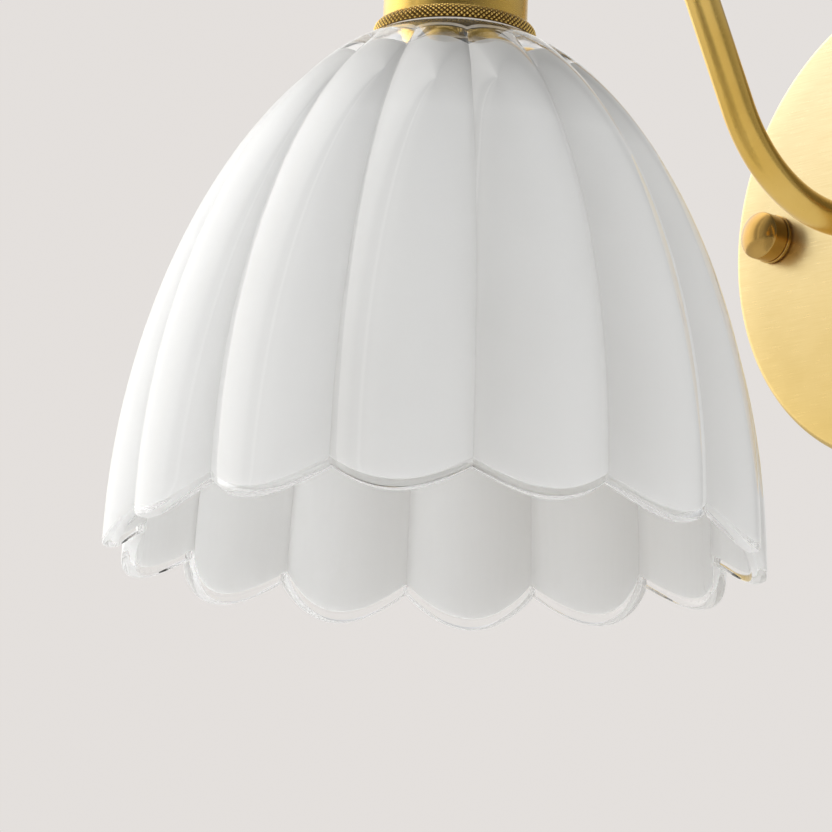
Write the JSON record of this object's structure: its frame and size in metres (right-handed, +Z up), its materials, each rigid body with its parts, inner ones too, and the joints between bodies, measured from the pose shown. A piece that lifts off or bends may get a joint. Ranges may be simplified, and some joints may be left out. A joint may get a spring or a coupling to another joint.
{
  "type": "wall sconce",
  "caption": "Wall sconce: round back plate, swan-neck arm, lamp cup with a knurled ring, and a downward bell shade of fluted, petal-edged glass.",
  "frame": {"origin": "the wall plane at the back plate's centre, midway between the two wall screw slots", "axes": "+Z up, the lamp stands out along -Y, +Y into the wall, X level along the wall"},
  "size_m": [0.181, 0.3108, 0.2558],
  "materials": {
    "zinc_steel": "zinc plated",
    "terminal_brass": "plain",
    "earth_insulation": "green and yellow insulation",
    "line_insulation": "brown insulation",
    "neutral_insulation": "blue insulation",
    "white_plastic": "matt",
    "dark_plastic": "matt",
    "fibre": "matt",
    "plate_brass": "fine brushed and lacquered",
    "satin_brass": "satin, lacquered",
    "aged_brass": "satin, slightly darker",
    "silicone": "translucent silicone",
    "shade_glass": "clear glass cased over white opal",
    "bulb_glass": "frosted white",
    "bulb_plastic": "semi-gloss white",
    "bulb_metal": "nickel look"
  },
  "bodies": {
    "fixture": {"wall_bracket": "zinc_steel", "bracket_screw_left": "zinc_steel", "bracket_screw_right": "zinc_steel", "bracket_nuts": "zinc_steel", "earth_screw": "terminal_brass", "earth_wire": "earth_insulation", "terminal_block": "white_plastic", "terminal_screws": "terminal_brass", "line_wire": "line_insulation", "neutral_wire": "neutral_insulation", "backplate": "plate_brass", "arm_collar": "satin_brass", "arm_washer": "zinc_steel", "arm_lock_nut": "terminal_brass", "arm_tube": "satin_brass", "cup_collar": "satin_brass", "lamp_cup": "satin_brass", "knurled_ring": "aged_brass", "lampholder_cap": "dark_plastic", "lampholder_body": "dark_plastic", "lampholder_core": "white_plastic", "screw_shell": "terminal_brass", "centre_contact": "terminal_brass", "holder_terminals": "terminal_brass", "upper_gasket": "silicone"},
    "left_washer": {"cap_washer_left": "fibre"},
    "left_nut": {"cap_nut_left": "aged_brass"},
    "right_washer": {"cap_washer_right": "fibre"},
    "right_nut": {"cap_nut_right": "aged_brass"},
    "shade": {"glass_shade": "shade_glass", "lower_gasket": "silicone"},
    "shade_ring": {"shade_ring": "dark_plastic"},
    "bulb": {"bulb_globe": "bulb_glass", "bulb_housing": "bulb_plastic", "bulb_cap": "bulb_metal", "bulb_insulator": "dark_plastic", "bulb_tip": "bulb_metal"}
  },
  "joints": [
    {"name": "left_nut_travel", "type": "slide", "parent": "fixture", "child": "left_washer", "axis": [0, -1, 0], "range_m": [0, 0.0049]},
    {"name": "left_nut_turn", "type": "hinge", "parent": "left_washer", "child": "left_nut", "pos_m": [-0.06, -0.027, 0.0026], "axis": [0, -1, 0], "range_deg": [0, 2520]},
    {"name": "right_nut_travel", "type": "slide", "parent": "fixture", "child": "right_washer", "axis": [0, -1, 0], "range_m": [0, 0.0049]},
    {"name": "right_nut_turn", "type": "hinge", "parent": "right_washer", "child": "right_nut", "pos_m": [0.06, -0.027, 0.0026], "axis": [0, -1, 0], "range_deg": [0, 2520]},
    {"name": "shade_travel", "type": "slide", "parent": "fixture", "child": "shade", "axis": [0, 0, -1], "range_m": [0, 0.004]},
    {"name": "shade_ring_turn", "type": "hinge", "parent": "shade", "child": "shade_ring", "pos_m": [0, -0.222, -0.00483], "axis": [0, 0, -1], "range_deg": [0, 720]},
    {"name": "bulb_withdrawal", "type": "slide", "parent": "fixture", "child": "bulb", "axis": [0, 0, -1], "range_m": [0, 0.19]}
  ],
  "couplings": [
    {"joint": "left_nut_travel", "follows": "left_nut_turn", "m_per_rad": 0.00011141},
    {"joint": "right_nut_travel", "follows": "right_nut_turn", "m_per_rad": 0.00011141},
    {"joint": "shade_ring_turn", "follows": "shade_travel", "rad_per_m": 3141.6}
  ]
}
